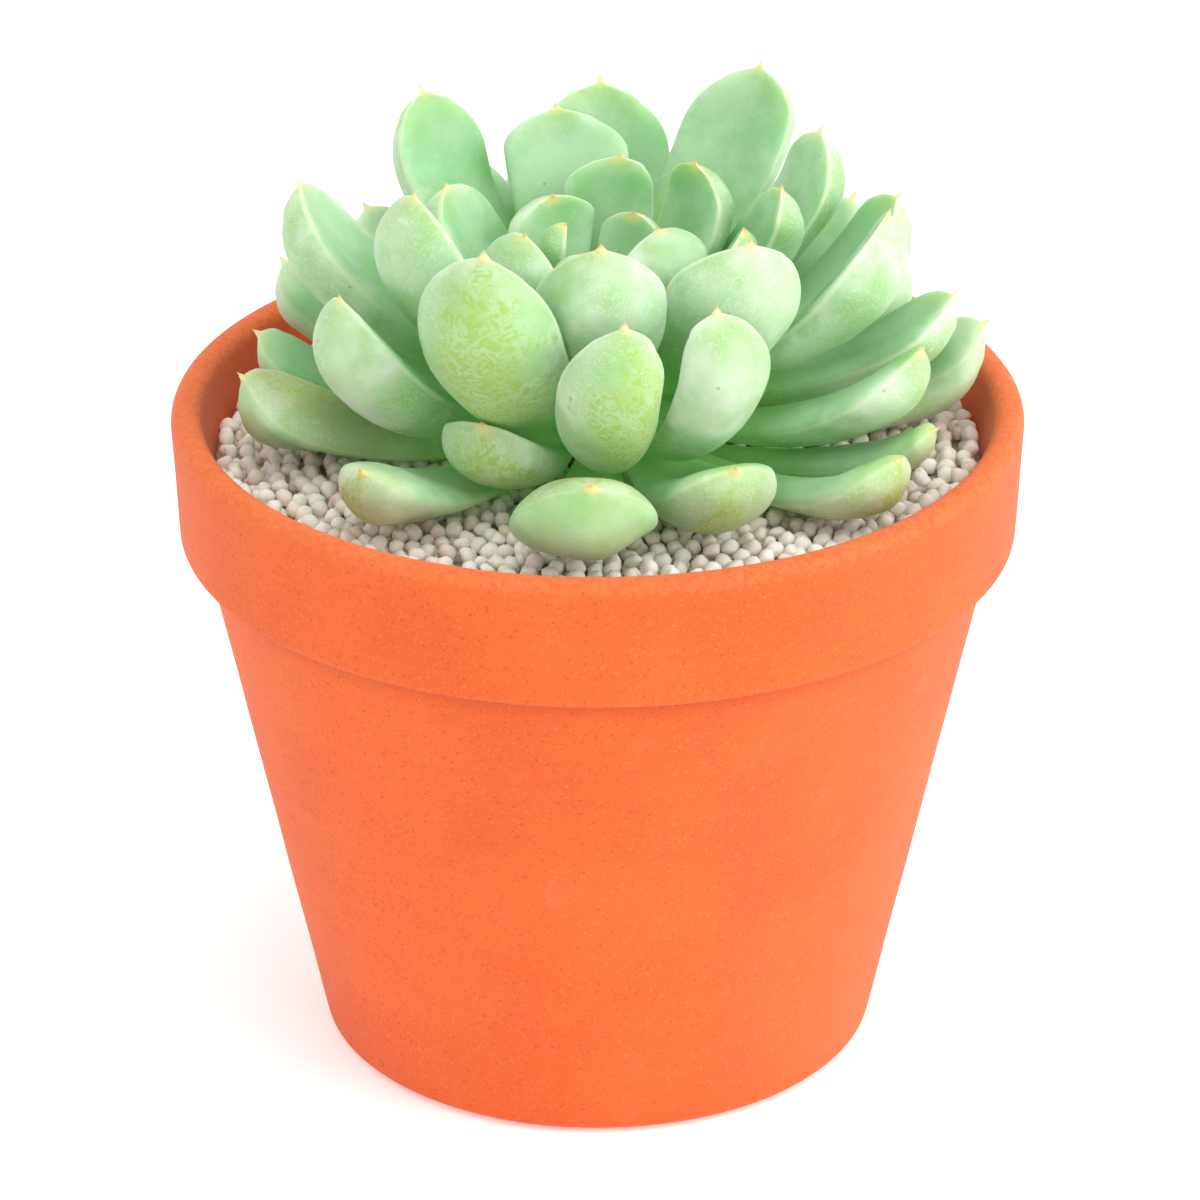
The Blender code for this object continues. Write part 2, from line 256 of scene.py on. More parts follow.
colour = mixed(tree, worn, colour, CLAY_WORN)
# The rim band ends at the highest step inwards that lies clear of the lip.
pot_profile = profile_of("pot")
steps_in = [
    here[1] for here, ahead in zip(pot_profile, pot_profile[1:])
    if abs(here[1] - ahead[1]) < SAME_LEVEL and here[0] - ahead[0] > MM]
band_level = max(level for level in steps_in if level < pot_high.z - LIP_CLEAR)
# Painted shade: the clay just under the rim band is darkened, as if the band's step shades it.
painted_band_shade = ranged(tree, height, band_level - SHADE_UNDER_BAND_REACH, band_level, 0, 0.5)
under_band = ranged(tree, height, band_level + 0.5 * MM, band_level + 0.1 * MM)
colour = mixed(tree, worked(tree, "MULTIPLY", painted_band_shade, under_band), colour, CLAY_PAINTED_SHADE)
tree.links.new(colour, shader.inputs["Base Color"])
tree.links.new(ranged(tree, grain, 0.3, 0.7, 0.70, 0.88), shader.inputs["Roughness"])
shader.inputs["Specular IOR Level"].default_value = 0.35
relief = worked(tree, "MULTIPLY_ADD", specks, -0.8, grain)
relief = worked(tree, "MULTIPLY_ADD", lines, 0.25, relief)
shader.inputs["Sheen Weight"].default_value = 0.10  # fine dust on the fired clay
shader.inputs["Sheen Roughness"].default_value = 0.4
bumped(tree, shader, relief, 0.6, 0.00025)

profile = rounded_profile(pot_profile)
points = []
for radius, level in profile:
    for x, y in circle(1.0, POT_STEPS):
        around = Vector((x, y, 0))
        ridge = around * THROWN_WAVES + Vector((0, 0, level / THROWN_PITCH))
        thrown = noise.noise(ridge) * THROWN_WOBBLE
        on_lip = max(0.0, 1 - (pot_high.z - level) / LIP_DEPTH)
        sag = noise.noise(around * LIP_WAVES) * LIP_WOBBLE * on_lip
        points.append(around * (radius + thrown) + Vector((0, 0, level + min(0.0, sag))))
pot = new_piece("terracotta_pot", points, turned_faces(len(profile), POT_STEPS), clay_look)
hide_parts("pot")
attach(pot, "root")

# ---------------------------------------------------------------------------------------------
# Potting soil: a dark, gritty peat mix that fills the pot to just under the gravel. It is seen
# only through the drain hole and between the granules.
PEAT = (0.060, 0.036, 0.022, 1)
PEAT_DRY = (0.150, 0.100, 0.065, 1)
PERLITE = (0.62, 0.58, 0.52, 1)

soil_look, tree, shader, spots = new_look("potting_soil")
mottle, grain, specks = grain_of(tree, spots, 220, 1500, 420)
colour = mixed(tree, mottle, PEAT, PEAT_DRY)
colour = mixed(tree, worked(tree, "MULTIPLY", specks, 0.8), colour, PERLITE)
tree.links.new(colour, shader.inputs["Base Color"])
tree.links.new(ranged(tree, grain, 0.3, 0.7, 0.85, 1.0), shader.inputs["Roughness"])
bumped(tree, shader, worked(tree, "ADD", grain, mottle), 0.9, 0.0012)
soil = cad_nodes["potting_soil"]
soil.data.materials.clear()
soil.data.materials.append(soil_look)

# ---------------------------------------------------------------------------------------------
# Gravel topping: rounded cream mineral granules of 2 to 2.5 mm, poured loose round the stem. A
# rough bed stands for the deeper ones, and two layers of single granules lie on it.
BED_RINGS = 26
BED_STEPS = 120
BED_DROP = 1.3 * MM  # from the gravel's level down to the bed
BED_LUMP = 0.5 * MM
BED_LUMP_WIDTH = 1.9 * MM
HEAP = 0.75 * MM  # how uneven the poured surface is
HEAP_WIDTH = 16 * MM
DIMPLE_SHARE = 0.45
DIMPLE_WIDTH = 5 * MM
DIMPLE_SLICE = 9 * MM  # the height at which the noise is cut for them
SHEET_RINGS = 16  # of the surfaces that the granules lie on
SHEET_STEPS = 96
LAYER_DROPS = (1.35 * MM, 0.05 * MM)  # of the lower and the upper layer
LAYER_SEEDS = (4, 9)
GRANULE = 1.16 * MM  # mean radius
GRANULE_SPACING = 2.02 * MM
GRANULE_SHIFTS = ((-0.1 * MM, -0.1 * MM, -0.4 * MM), (0.1 * MM, 0.1 * MM, 0.4 * MM))
GRANULE_SHAPES = ((0.82, 0.82, 0.76), (1.16, 1.10, 1.02))
MOST_GRANULES = 2.5e6  # per square metre, before the spacing thins them
DENT_SCALE = 620.0
DENT = 1.1 * MM
WALL_ROOM = 0.9 * MM
GRAVEL_CREAM = (0.93, 0.85, 0.75, 1)
GRAVEL_WHITE = (0.98, 0.94, 0.88, 1)
GRAVEL_TAN = (0.74, 0.62, 0.49, 1)
# painted shade between the granules on the bed, and the dark specks on the granules
GRAVEL_SHADE_AND_SPECK = (0.36, 0.29, 0.22, 1)

gravel_low, gravel_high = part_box("gravel_topping")
stem_low, stem_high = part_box("stem")
gravel_radius = gravel_high.x
gravel_profile = profile_of("gravel_topping")
foot_level = gravel_low.z + SAME_LEVEL
foot_radius = max(radius for radius, level in gravel_profile if level < foot_level)
hole_radius = min(radius for radius, level in gravel_profile)


def heap_height(x, y):
    """How far the poured surface stands over or under its level."""
    broad = noise.noise(Vector((x, y, 0)) / HEAP_WIDTH)
    fine = noise.noise(Vector((x, y, DIMPLE_SLICE)) / DIMPLE_WIDTH)
    return HEAP * (broad + DIMPLE_SHARE * fine)


bed_look, tree, shader, spots = new_look("gravel_bed")
mottle, grain, specks = grain_of(tree, spots, 420, 1300, 430)
# The bed is mostly the dark shade colour with small cream specks: painted shade in the gaps
# between granules.
colour = mixed(tree, specks, GRAVEL_SHADE_AND_SPECK, GRAVEL_CREAM)
colour = mixed(tree, worked(tree, "MULTIPLY", mottle, 0.4), colour, GRAVEL_TAN)
tree.links.new(colour, shader.inputs["Base Color"])
shader.inputs["Roughness"].default_value = 0.9
bumped(tree, shader, worked(tree, "ADD", specks, grain), 0.8, 0.0006)

bed_radii = np.linspace(hole_radius, gravel_radius, BED_RINGS)
bed_profile = [(radius, None) for radius in bed_radii]
bed_profile += [(foot_radius, gravel_low.z), (hole_radius, gravel_low.z)]
points = []
for radius, level in bed_profile:
    for x, y in circle(radius, BED_STEPS):
        lump = noise.noise(Vector((x, y, 0)) / BED_LUMP_WIDTH) * BED_LUMP
        top = gravel_high.z - BED_DROP + heap_height(x, y) + lump
        points.append((x, y, top if level is None else level))
bed = new_piece("gravel_bed", points, turned_faces(len(bed_profile), BED_STEPS), bed_look)
turning_right = bmesh.new()
turning_right.from_mesh(bed.data)
bmesh.ops.recalc_face_normals(turning_right, faces=turning_right.faces)
turning_right.to_mesh(bed.data)
turning_right.free()
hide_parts("gravel_topping")
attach(bed, "root")

granule_look, tree, shader, spots = new_look("gravel_granule")
mottle, grain, specks = grain_of(tree, spots, 700, 3600, 1500)
tint = put(tree, "ShaderNodeAttribute", {}, output="Fac", attribute_name="tint")
colour = mixed(tree, ranged(tree, tint, 0.10, 0.80), GRAVEL_CREAM, GRAVEL_WHITE)
colour = mixed(tree, ranged(tree, tint, 0.16, 0.0, 0, 0.55), colour, GRAVEL_TAN)
colour = mixed(tree, worked(tree, "MULTIPLY", mottle, 0.05), colour, GRAVEL_TAN)
colour = mixed(tree, worked(tree, "MULTIPLY", specks, 0.10), colour, GRAVEL_SHADE_AND_SPECK)
tree.links.new(colour, shader.inputs["Base Color"])
tree.links.new(ranged(tree, grain, 0.3, 0.7, 0.72, 0.92), shader.inputs["Roughness"])
shader.inputs["Specular IOR Level"].default_value = 0.3
bumped(tree, shader, grain, 0.4, 0.00018)


def granule_tree():
    """Scatters granules over a surface: each is a small ball, stretched, turned and dented."""
    tree = bpy.data.node_groups.new("scatter_granules", "GeometryNodeTree")
    named = (("Surface", "NodeSocketGeometry"), ("Spacing", "NodeSocketFloat"),
             ("Radius", "NodeSocketFloat"), ("Seed", "NodeSocketInt"),
             ("Finish", "NodeSocketMaterial"))
    for name, kind in named:
        tree.interface.new_socket(name, in_out="INPUT", socket_type=kind)
    tree.interface.new_socket("Granules", in_out="OUTPUT", socket_type="NodeSocketGeometry")
    given = tree.nodes.new("NodeGroupInput").outputs

    def at_random(low, high, kind, salt):
        node = tree.nodes.new("FunctionNodeRandomValue")
        node.data_type = kind
        names = [s for s in node.inputs if s.enabled]
        names[0].default_value, names[1].default_value = low, high
        seed = put(tree, "ShaderNodeMath", {0: given["Seed"], 1: salt}, operation="ADD")
        tree.links.new(seed, [s for s in names if s.name == "Seed"][0])
        return [s for s in node.outputs if s.enabled][0]

    spread = {"Mesh": given["Surface"], "Distance Min": given["Spacing"],
              "Density Max": MOST_GRANULES, "Seed": given["Seed"]}
    places = put(tree, "GeometryNodeDistributePointsOnFaces", spread, distribute_method="POISSON")
    moved = at_random(*GRANULE_SHIFTS, "FLOAT_VECTOR", 3)
    places = put(tree, "GeometryNodeSetPosition", {"Geometry": places, "Offset": moved})
    ball = put(tree, "GeometryNodeMeshIcoSphere", {"Radius": given["Radius"], "Subdivisions": 2})
    stretch = at_random(*GRANULE_SHAPES, "FLOAT_VECTOR", 5)
    spin = at_random((0, 0, 0), (math.tau, math.tau, math.tau), "FLOAT_VECTOR", 7)
    laid = put(tree, "GeometryNodeInstanceOnPoints",
               {"Points": places, "Instance": ball, "Rotation": spin, "Scale": stretch})
    named_tint = tree.nodes.new("GeometryNodeStoreNamedAttribute")
    named_tint.data_type, named_tint.domain = "FLOAT", "INSTANCE"
    named_tint.inputs["Name"].default_value = "tint"
    tree.links.new(laid, named_tint.inputs["Geometry"])
    tree.links.new(at_random(0.0, 1.0, "FLOAT", 11), named_tint.inputs["Value"])
    solid = put(tree, "GeometryNodeRealizeInstances", {"Geometry": named_tint.outputs[0]})
    place = put(tree, "GeometryNodeInputPosition", {})
    field = {"Vector": place, "Scale": DENT_SCALE, "Detail": 1.0}
    dents = put(tree, "ShaderNodeTexNoise", field, output=1)
    middle = (0.5, 0.5, 0.5)
    centred = put(tree, "ShaderNodeVectorMath", {0: dents, 1: middle}, operation="SUBTRACT")
    shift = put(tree, "ShaderNodeVectorMath", {0: centred, "Scale": DENT}, operation="SCALE")
    dented = put(tree, "GeometryNodeSetPosition", {"Geometry": solid, "Offset": shift})
    smooth = put(tree, "GeometryNodeSetShadeSmooth", {"Geometry": dented})
    finished = {"Geometry": smooth, "Material": given["Finish"]}
    result = put(tree, "GeometryNodeSetMaterial", finished)
    tree.links.new(result, tree.nodes.new("NodeGroupOutput").inputs["Granules"])
    return tree


scatter = granule_tree()
socket_ids = {item.name: item.identifier for item in scatter.interface.items_tree}
for layer, drop, seed in zip(("lower", "upper"), LAYER_DROPS, LAYER_SEEDS):
    reach = np.linspace(hole_radius + WALL_ROOM, gravel_radius - WALL_ROOM, SHEET_RINGS)
    points = [
        (x, y, gravel_high.z - drop + heap_height(x, y))
        for radius in reach for x, y in circle(radius, SHEET_STEPS)]
    faces = turned_faces(SHEET_RINGS, SHEET_STEPS, closed=False)
    sheet = new_piece("granule_sheet", points, faces, granule_look)
    modifier = sheet.modifiers.new("granules", "NODES")
    modifier.node_group = scatter
    modifier[socket_ids["Spacing"]] = GRANULE_SPACING
    modifier[socket_ids["Radius"]] = GRANULE
    modifier[socket_ids["Seed"]] = seed
    modifier[socket_ids["Finish"]] = granule_look
    bpy.context.view_layer.update()
    evaluated = sheet.evaluated_get(bpy.context.evaluated_depsgraph_get())
    mesh = bpy.data.meshes.new_from_object(evaluated)
    name = f"gravel_granules_{layer}"
    mesh.name = name
    granules = bpy.data.objects.new(name, mesh)
    bpy.context.scene.collection.objects.link(granules)
    bpy.data.objects.remove(sheet)
    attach(granules, "root")

# ---------------------------------------------------------------------------------------------
# Stem: the short, thick, greenish-brown stalk that carries the leaves. Its foot is rooted in
# the soil, and old leaf scars ring it.
STEM_GREEN = (0.26, 0.33, 0.13, 1)
STEM_CORK = (0.27, 0.18, 0.10, 1)
STEM_CROWN = (0.24, 0.46, 0.15, 1)  # the growing tip, between the youngest leaves

stem_look, tree, shader, spots = new_look("stem")
rings = put(tree, "ShaderNodeMapping", {"Vector": spots, "Scale": (120, 120, 620)})
scars = cloudy(tree, rings, 1.0, 4, 0.6, 0.4)
level = ranged(tree, part_of(tree, spots, 2), gravel_high.z - 2 * MM, stem_high.z)
colour = mixed(tree, level, STEM_CORK, STEM_GREEN)
colour = mixed(tree, ranged(tree, scars, 0.5, 0.7, 0, 0.6), colour, STEM_CORK)
crown = ranged(tree, part_of(tree, spots, 2), stem_high.z - 6 * MM, stem_high.z - 2 * MM)
colour = mixed(tree, crown, colour, STEM_CROWN)
tree.links.new(colour, shader.inputs["Base Color"])
shader.inputs["Roughness"].default_value = 0.75
bumped(tree, shader, scars, 0.6, 0.0006)
stem = cad_nodes["stem"]
stem.data.materials.clear()
stem.data.materials.append(stem_look)

# ---------------------------------------------------------------------------------------------
# Leaves: plump, water-filled leaves set on a climbing spiral, the oldest lowest. Each has a
# nearly flat inner face, a full rounded outer face, a thin pale margin and a small sharp point.
# A powdery bloom covers the skin, and is rubbed off to bare yellow-green in places.
RINGS = np.array((0.0, 0.12, 0.28, 0.46, 0.64, 0.80, 0.90, 0.955))  # where the CAD rings lie
WIDEST_AT = 0.66
ROUNDED_BY = 0.97
BLUNT = 3.2
TAPER = 0.78  # over 0.5, the end comes to a blunt angle
FOOT_WIDTH = 0.30
FOOT_FULLNESS = 0.78
POINT_FROM = 0.94
POINT_WIDTH = 0.20
POINT_HOLLOW = 1.2  # over 1, the point's sides are hollow
POINT_BLEND = 2.3
SPOT_ANGLES = np.radians((0, 53.1, 90, 126.9, 180, 216.9, 270, 323.1))  # of a ring's points
INNER_ACROSS = np.array((1.0, 0.6, 0.0, -0.6, -1.0))
OUTER_COLUMNS = 28
INNER_COLUMNS = 20
FOOT_ROWS = 19  # from the foot to the widest place
END_ROWS = 18  # from there to the end
POINT_ROWS = (0.970, 0.976, 0.982, 0.988, 0.994)
POINT_GROWS = (0.91, 0.935)  # where the point's own outline takes over
SKIN_LUMP = 0.10 * MM
SKIN_LUMP_WIDTH = 7 * MM
SKIN_CALM = 0.125  # the last part of the length, where the lumps fade
EASE_ROUNDS = 2  # how often the margins are eased round
SHARP_AGE = 0.5  # from here up the stem, margins are thin; below, ever rounder
EDGE_REACH = 4 * MM
TIP_REACH = 5 * MM
FLESH_FOOT = (0.120, 0.330, 0.045, 1)
FLESH = (0.225, 0.490, 0.130, 1)
FLESH_INNER = (0.180, 0.500, 0.170, 1)
FLESH_BARE = (0.330, 0.500, 0.090, 1)
BLOOM = (0.470, 0.650, 0.420, 1)
BLOOM_THICK = (0.780, 0.850, 0.760, 1)
BLOOM_OLD = (0.600, 0.610, 0.460, 1)
OLIVE = (0.400, 0.310, 0.140, 1)
MARGIN = (0.720, 0.800, 0.580, 1)
PAINTED_GLOW = (0.030, 0.090, 0.018, 1)  # painted glow: faint green light the leaf gives off near its foot, lightening the shade between leaves
POINT_YELLOW = (0.780, 0.640, 0.260, 1)
POINT_RED = (0.620, 0.200, 0.070, 1)
SPECK = (0.200, 0.210, 0.090, 1)
# Where bloom is rubbed off: leaf, then place along, place across, half size along and across,
# and how bare it is. Across runs from -1 at one margin to 1 at the other on the outer face.
RUBBED = (
    (26, 0.76, 0.15, 0.22, 0.75, 0.85),
    (31, 0.68, 0.20, 0.34, 0.75, 0.80),
    (18, 0.78, 0.20, 0.20, 0.60, 1.0),
    (5, 0.84, -0.35, 0.13, 0.35, 0.95),
    (5, 0.86, 0.45, 0.10, 0.25, 0.85),
    (8, 0.84, -0.10, 0.14, 0.40, 0.95),
    (10, 0.82, -0.30, 0.18, 0.45, 0.90),
    (2, 0.80, -0.20, 0.22, 0.50, 0.85),
    (13, 0.84, -0.20, 0.14, 0.40, 0.85),
)


def turned_ring(ring, ahead, before):
    """A ring's points in order round the way ahead, lined up with the ring before."""
    out = ring - ring.mean(0)
    axis = ahead / np.linalg.norm(ahead)
    flat = out - np.outer(out @ axis, axis)
    order = np.argsort(np.arctan2(flat @ np.cross(axis, flat[0]), flat @ flat[0]))
    out = (flat / np.linalg.norm(flat, axis=1, keepdims=True))[order]
    if before is None:
        return ring[order], out
    first = max(range(len(ring)), key=lambda step: (np.roll(out, -step, axis=0) * before).sum())
    return np.roll(ring[order], -first, axis=0), np.roll(out, -first, axis=0)


def leaf_rings(name):
    """The CAD leaf's eight rings of eight points, each from one margin round by the inner face,
    and its tip."""
    shape = merged_copy(name)
    stem_foot = Vector((0, 0, stem_low.z))
    eight_edged = [v for v in shape.verts if len(v.link_edges) == 8]
    tip = max(eight_edged, key=lambda v: (v.co - stem_foot).length)
    layers = [{tip}]
    seen = {tip}
    while len(layers) < len(RINGS) + 1:
        ahead = {e.other_vert(v) for v in layers[-1] for e in v.link_edges} - seen
        seen |= ahead
        layers.append(ahead)
    layers = [sorted(layer, key=lambda v: v.index) for layer in layers]
    spots = [np.array([tuple(v.co) for v in layer]) for layer in layers]
    shape.free()
    found = []
    before = None
    for last, ring in zip(spots, spots[1:]):
        ring, before = turned_ring(ring, last.mean(0) - ring.mean(0), before)
        found.insert(0, ring)
    found = np.array(found)
    widths = np.linalg.norm(found - np.roll(found, -4, axis=1), axis=2).sum(0)[:4]
    found = np.roll(found, -int(np.argmax(widths)), axis=1)
    chord = (found[:, 0] + found[:, 4]) / 2
    rise = np.linalg.norm(found - chord[:, None], axis=2).sum(0)
    if rise[2] > rise[6]:
        found = np.roll(found, -4, axis=1)
    return found, spots[0][0]


def column_weights():
    """How much each of a ring's eight points counts in each column of the finished leaf."""
    def outer_terms(angles):
        terms = [np.ones_like(angles), np.cos(angles), np.sin(angles)]
        return np.stack(terms + [np.cos(2 * angles), np.sin(2 * angles)], axis=1)

    inner_across = np.cos(np.linspace(0, math.pi, INNER_COLUMNS, endpoint=False))
    inner = np.vander(inner_across, 5) @ np.linalg.inv(np.vander(INNER_ACROSS, 5))
    angles = np.linspace(math.pi, math.tau, OUTER_COLUMNS, endpoint=False)
    outer_spots = np.append(SPOT_ANGLES[4:], math.tau)
    outer = outer_terms(angles) @ np.linalg.inv(outer_terms(outer_spots))
    weights = np.zeros((INNER_COLUMNS + OUTER_COLUMNS, 8))
    weights[:INNER_COLUMNS, [0, 1, 2, 3, 4]] = inner
    weights[INNER_COLUMNS:, [4, 5, 6, 7, 0]] = outer
    return weights, np.concatenate([np.arccos(inner_across), angles])


def fullness(along):
    """The leaf's width along its length: a narrow foot, a full outer part and a round end."""
    rise = np.clip(along / WIDEST_AT, 0, 1)
    grown = FOOT_WIDTH + (1 - FOOT_WIDTH) * (rise * rise * (3 - 2 * rise)) ** FOOT_FULLNESS
    past = np.clip((along - WIDEST_AT) / (ROUNDED_BY - WIDEST_AT), 0, 1)
    return grown * (1 - past**BLUNT) ** TAPER


def through(knots, values, places):
    """A smooth curve through the values at the knots, read at other places."""
    slopes = np.gradient(values, knots, axis=0)
    span = np.clip(np.searchsorted(knots, places, side="right") - 1, 0, len(knots) - 2)
    step = knots[span + 1] - knots[span]
    t = ((places - knots[span]) / step).reshape(-1, *[1] * (values.ndim - 1))
    step = step.reshape(t.shape)
    start, end = values[span], values[span + 1]
    return (
        start * (2 * t**3 - 3 * t**2 + 1) + end * (3 * t**2 - 2 * t**3)
        + slopes[span] * step * (t**3 - 2 * t**2 + t) + slopes[span + 1] * step * (t**3 - t**2)
    )


sharp_weights, angles = column_weights()
across = np.cos(angles)
one_each = np.eye(len(SPOT_ANGLES))
round_weights = through(
    np.concatenate([SPOT_ANGLES[-2:] - math.tau, SPOT_ANGLES, SPOT_ANGLES[:2] + math.tau]),
    np.vstack([one_each[-2:], one_each, one_each[:2]]), angles)
turns = np.linspace(0, math.pi / 2, END_ROWS + 1)[:-1]
round_end = WIDEST_AT + (ROUNDED_BY - WIDEST_AT) * np.sin(turns) ** (2 / BLUNT)
lengths = np.concatenate([np.linspace(0, WIDEST_AT, FOOT_ROWS + 1)[:-1], round_end, POINT_ROWS])
point_width = POINT_WIDTH * ((1 - lengths) / (1 - POINT_FROM)) ** POINT_HOLLOW
point_share = np.interp(lengths, POINT_GROWS, (0, 1))
widths = fullness(lengths) ** POINT_BLEND + point_width**POINT_BLEND * point_share
widths = widths ** (1 / POINT_BLEND)


def leaf_surface(name, age):
    """The finished leaf's points, row by row from foot to tip, with the foot's middle and the
    tip last."""
    rings, tip = leaf_rings(name)
    spine = (rings[:, 0] + rings[:, 4]) / 2
    spread = (rings - spine[:, None]) / fullness(RINGS)[:, None, None]
    middle = through(np.append(RINGS, 1.0), np.vstack([spine, tip]), lengths)
    roundness = max(0, 1 - age / SHARP_AGE)
    weights = sharp_weights + (round_weights - sharp_weights) * roundness
    reach = through(RINGS, weights @ spread, np.clip(lengths, 0, RINGS[-1]))
    rows = middle[:, None] + reach * widths[:, None, None]
    for _ in range(EASE_ROUNDS):
        for margin in (0, INNER_COLUMNS):
            near = [(margin + step) % len(across) for step in (-1, 0, 1)]
            eased = 0.5 * rows[:, near] + 0.25 * (
                np.roll(rows, 1, axis=1)[:, near] + np.roll(rows, -1, axis=1)[:, near])
            rows[:, near] = eased
    return np.vstack([rows.reshape(-1, 3), rows[0].mean(0), tip])


def leaf_quads():
    """Faces over the rows, closed at the foot and at the tip."""
    count = len(across)
    last = len(lengths) - 1
    foot = len(lengths) * count
    faces = []
    for column in range(count):
        after = (column + 1) % count
        faces.append((foot, after, column))
        faces += [(row * count + column, row * count + after,
                   (row + 1) * count + after, (row + 1) * count + column) for row in range(last)]
        faces.append((last * count + column, last * count + after, foot + 1))
    return faces


def leaf_material():
    """Skin, bloom, rubbed places, margin and point, from each spot's place on its leaf."""
    look, tree, shader, spots = new_look("leaf_skin")
    place = put(tree, "ShaderNodeAttribute", {}, output="Color", attribute_name="leaf_place")
    tone = put(tree, "ShaderNodeAttribute", {}, output="Color", attribute_name="leaf_tone")
    along, edge, outer = (part_of(tree, place, axis) for axis in range(3))
    age, bare, at_tip = (part_of(tree, tone, axis) for axis in range(3))

    colour = mixed(tree, outer, FLESH_INNER, FLESH)
    colour = mixed(tree, ranged(tree, along, 0.25, 0.80), FLESH_FOOT, colour)
    colour = mixed(tree, ranged(tree, along, 0.80, 0.97, 0, 0.5), colour, FLESH_BARE)
    broad = cloudy(tree, spots, 110, 4, 0.6)
    fine = cloudy(tree, spots, 900, 4, 0.6)
    cover = ranged(tree, broad, 0.34, 0.62, 0.35, 0.95)
    cover = worked(tree, "MULTIPLY", cover, ranged(tree, along, 0.15, 0.66, 0.20, 1.0))
    cover = worked(tree, "MULTIPLY", cover, ranged(tree, outer, 0.0, 1.0, 0.62, 1.0))

    stroke_field = cloudy(tree, spots, 620, 1.5, 0.5, 2.0)
    stroke = worked(tree, "ABSOLUTE", worked(tree, "SUBTRACT", stroke_field, 0.5))
    stroke = ranged(tree, stroke, 0.0, 0.040, 1, 0)
    where = ranged(tree, cloudy(tree, spots, 75, 2), 0.38, 0.54)
    where = worked(tree, "MULTIPLY", where, ranged(tree, outer, 0.0, 1.0, 0.25, 1.0))
    stroke = worked(tree, "MULTIPLY", stroke, where)
    cover = worked(tree, "MULTIPLY", cover, worked(tree, "MULTIPLY_ADD", where, -0.32, 1.0))

    ragged = worked(tree, "MULTIPLY_ADD", fine, 0.9, worked(tree, "MULTIPLY", broad, 1.2))
    rub = worked(tree, "ADD", bare, worked(tree, "SUBTRACT", ragged, 1.05))
    rub = worked(tree, "MULTIPLY", ranged(tree, rub, 0.25, 0.60), ranged(tree, bare, 0.0, 0.2))
    left_on = worked(tree, "MULTIPLY_ADD", ranged(tree, stroke_field, 0.42, 0.58), -0.5, 0.85)
    gone = worked(tree, "MULTIPLY", rub, left_on)
    cover = worked(tree, "MULTIPLY", cover, worked(tree, "MULTIPLY_ADD", gone, -1.0, 1.0))

    colour = mixed(tree, worked(tree, "MULTIPLY", rub, 0.8), colour, FLESH_BARE)
    thick = ranged(tree, cloudy(tree, spots, 60, 3), 0.36, 0.62)
    thick = worked(tree, "MULTIPLY", thick, ranged(tree, edge, 0.0, 0.9, 0.40, 1.0))
    powder = mixed(tree, thick, BLOOM, BLOOM_THICK)
    powder = mixed(tree, ranged(tree, age, 0.32, 0.14, 0, 0.55), powder, BLOOM_OLD)
    colour = mixed(tree, cover, colour, powder)
    colour = mixed(tree, worked(tree, "MULTIPLY", stroke, 0.30), colour, BLOOM_THICK)

    belly = worked(tree, "MULTIPLY", outer, ranged(tree, age, 0.34, 0.10))
    belly = worked(tree, "MULTIPLY", belly, ranged(tree, edge, 0.8, 0.0, 0.05, 0.34))
    belly = worked(tree, "MULTIPLY", belly, ranged(tree, fine, 0.3, 0.6, 0.5, 1))
    colour = mixed(tree, belly, colour, OLIVE)
    line = ranged(tree, along, 0.3, 0.7, 0.1, 0.5)
    line = worked(tree, "MULTIPLY", ranged(tree, edge, 0.86, 0.98), line)
    line = worked(tree, "MULTIPLY", line, ranged(tree, age, 0.2, 0.5, 0.35, 1.0))
    colour = mixed(tree, line, colour, MARGIN)
    dots = put(tree, "ShaderNodeTexVoronoi", {"Vector": spots, "Scale": 330.0})
    dotted = ranged(tree, broad, 0.5, 0.6, 0, 0.5)
    dots = worked(tree, "MULTIPLY", ranged(tree, dots, 0.10, 0.05), dotted)
    colour = mixed(tree, dots, colour, SPECK)
    colour = mixed(tree, ranged(tree, at_tip, 0.52, 0.84, 0, 0.6), colour, POINT_YELLOW)
    colour = mixed(tree, ranged(tree, at_tip, 0.82, 0.96, 0, 0.75), colour, POINT_RED)
    tree.links.new(colour, shader.inputs["Base Color"])
    tree.links.new(ranged(tree, cover, 0.2, 0.9, 0.42, 0.62), shader.inputs["Roughness"])
    shader.inputs["Specular IOR Level"].default_value = 0.4
    shader.inputs["Subsurface Weight"].default_value = 0.5
    shader.inputs["Subsurface Radius"].default_value = (0.7, 1.0, 0.4)
    shader.inputs["Subsurface Scale"].default_value = 0.005
    # Painted glow: the leaf gives off a faint green light near its foot, fading out along its
    # length.
    painted_glow_colour = mixed(tree, ranged(tree, along, 0.25, 0.75), PAINTED_GLOW, (0, 0, 0, 1))
    tree.links.new(painted_glow_colour, shader.inputs["Emission Color"])
    shader.inputs["Emission Strength"].default_value = 1.0
    relief = worked(tree, "MULTIPLY_ADD", broad, 1.5, fine)
    relief = worked(tree, "MULTIPLY_ADD", stroke, 0.3, relief)
    bumped(tree, shader, relief, 0.25, 0.00025)
    return look


def margin_nearness(rows):
    """1 on a margin, falling to 0 where the surface has gone EDGE_REACH away from it."""
    steps = np.linalg.norm(np.roll(rows, -1, axis=1) - rows, axis=2)
    walked = np.zeros(rows.shape[:2])
    for start, end in ((0, INNER_COLUMNS), (INNER_COLUMNS, rows.shape[1])):
        there = np.cumsum(steps[:, start:end], axis=1)
        from_start = np.concatenate([np.zeros((len(rows), 1)), there[:, :-1]], axis=1)
        walked[:, start:end] = np.minimum(from_start, there[:, -1:] - from_start)
    return np.clip(1 - walked / EDGE_REACH, 0, 1).ravel()


def store_values(mesh, name, *values):
    """Stores three values at each of the mesh's points, as a colour."""
    shades = np.stack([*values, np.ones(len(mesh.vertices))], axis=1)
    stored = mesh.color_attributes.new(name, "FLOAT_COLOR", "POINT")
    stored.data.foreach_set("color", shades.ravel())


